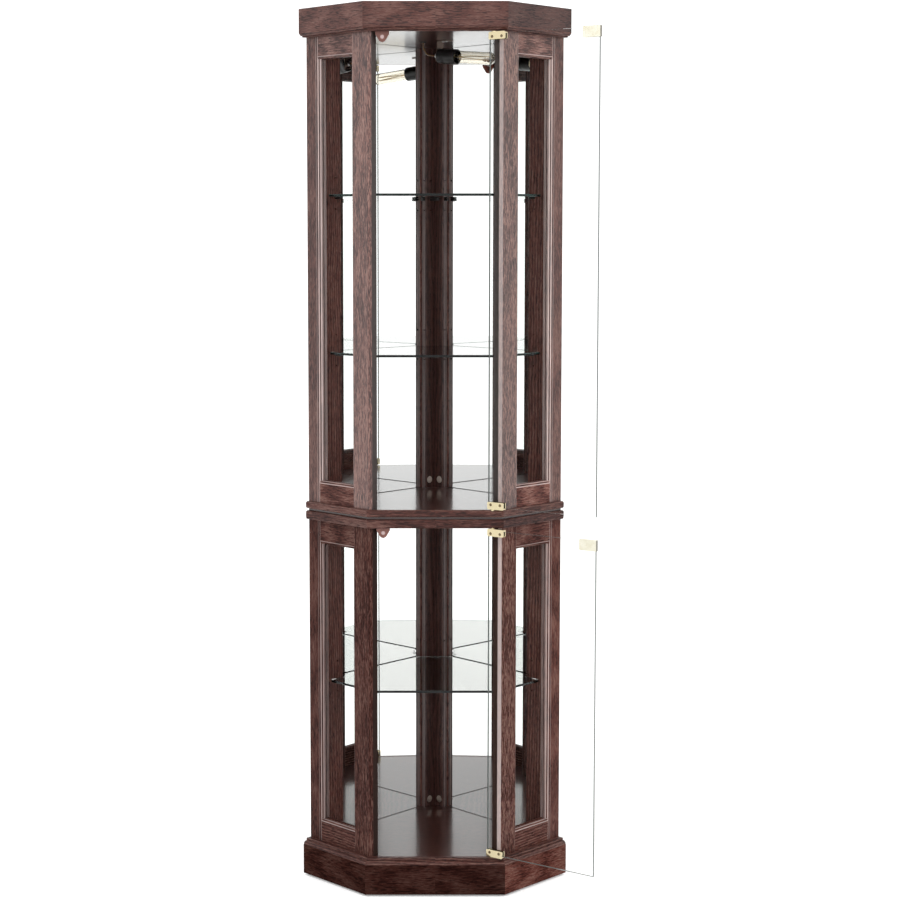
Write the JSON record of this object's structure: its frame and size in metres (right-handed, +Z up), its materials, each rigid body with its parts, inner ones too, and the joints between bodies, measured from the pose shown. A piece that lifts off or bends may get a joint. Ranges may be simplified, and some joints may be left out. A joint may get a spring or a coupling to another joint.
{
  "type": "corner display cabinet",
  "caption": "Tall five-sided corner display cabinet in two stacked sections, with mirrored back walls, glazed sides, glass shelves, a lamp, and a frameless pivoting glass door on each section",
  "frame": {"origin": "on the floor under the rear glide, in the plane of symmetry, 361 mm behind the plinth's front facet and 50 mm in front of the rear corner", "axes": "+Z up; the front facet and the doors face -Y; the rear right-angled corner points to +Y"},
  "size_m": [0.5927, 0.5338, 1.804],
  "materials": {
    "dark_wood": "open-grain oak stained dark walnut, satin lacquer",
    "back_board": "thin dark brown board, satin",
    "mirror_silver": "silvered mirror",
    "door_glass": "clear float glass, polished edges",
    "shelf_glass": "clear float glass, polished edges",
    "window_glass": "clear float glass",
    "polished_brass": "polished, lacquered",
    "brass_screws": "polished",
    "catch_plastic": "brown moulded plastic",
    "plated_steel": "zinc plated",
    "cam_zinc": "die-cast zinc",
    "bracket_steel": "plated strip",
    "holder_plastic": "black moulded plastic",
    "bulb_clear_glass": "clear lamp glass",
    "filament_wire": "fine wire on a glass stem",
    "lead_plastic": "flexible insulated lead",
    "grommet_plastic": "black moulded plastic",
    "pin_plastic": "black moulded plastic",
    "glide_plastic": "dark nylon"
  },
  "bodies": {
    "cabinet": {"back_panels": "back_board", "bulb_base": "plated_steel", "bulb_filament": "filament_wire", "bulb_glass": "bulb_clear_glass", "cam_locks": "cam_zinc", "catch_housings": "catch_plastic", "catch_magnets": "plated_steel", "crown_boards": "dark_wood", "crown_cove": "dark_wood", "crown_top_panel": "dark_wood", "fixing_screws": "plated_steel", "floor_glides": "glide_plastic", "lamp_bracket": "bracket_steel", "lamp_holder": "holder_plastic", "lamp_lead": "lead_plastic", "lamp_nipple_and_nut": "plated_steel", "lead_grommet": "grommet_plastic", "lower_back_stiles": "dark_wood", "lower_bottom_rails": "dark_wood", "lower_corner_post": "dark_wood", "lower_floor_panel": "dark_wood", "lower_front_stiles": "dark_wood", "lower_glass_shelf": "shelf_glass", "lower_glazing_beads": "dark_wood", "lower_mirrors": "mirror_silver", "lower_rear_stiles": "dark_wood", "lower_side_panes": "window_glass", "lower_top_panel": "dark_wood", "lower_top_rails": "dark_wood", "lower_waist_moulding": "dark_wood", "middle_glass_shelf": "shelf_glass", "mirror_strips": "dark_wood", "pivot_bushings": "polished_brass", "plinth_back_boards": "dark_wood", "plinth_boards": "dark_wood", "plinth_corner_blocks": "dark_wood", "plinth_moulding": "dark_wood", "section_bolts": "plated_steel", "shelf_pins": "pin_plastic", "top_glass_shelf": "shelf_glass", "upper_back_stiles": "dark_wood", "upper_bottom_rails": "dark_wood", "upper_ceiling_panel": "dark_wood", "upper_corner_post": "dark_wood", "upper_floor_panel": "dark_wood", "upper_front_stiles": "dark_wood", "upper_glazing_beads": "dark_wood", "upper_mirrors": "mirror_silver", "upper_rear_stiles": "dark_wood", "upper_side_panes": "window_glass", "upper_top_rails": "dark_wood", "upper_waist_moulding": "dark_wood"},
    "upper_door": {"upper_door_glass": "door_glass", "upper_hinge_clips": "polished_brass", "upper_clip_screws": "brass_screws", "upper_strike_plate": "polished_brass"},
    "lower_door": {"lower_door_glass": "door_glass", "lower_hinge_clips": "polished_brass", "lower_clip_screws": "brass_screws", "lower_strike_plate": "polished_brass"}
  },
  "joints": [
    {"name": "upper_door_hinge", "type": "hinge", "parent": "cabinet", "child": "upper_door", "pos_m": [0.1153, -0.3445, 1.271], "axis": [0, 0, 1], "range_deg": [-145.5, 8]},
    {"name": "lower_door_hinge", "type": "hinge", "parent": "cabinet", "child": "lower_door", "pos_m": [0.1153, -0.3445, 0.418], "axis": [0, 0, 1], "range_deg": [-145.5, 8]}
  ]
}
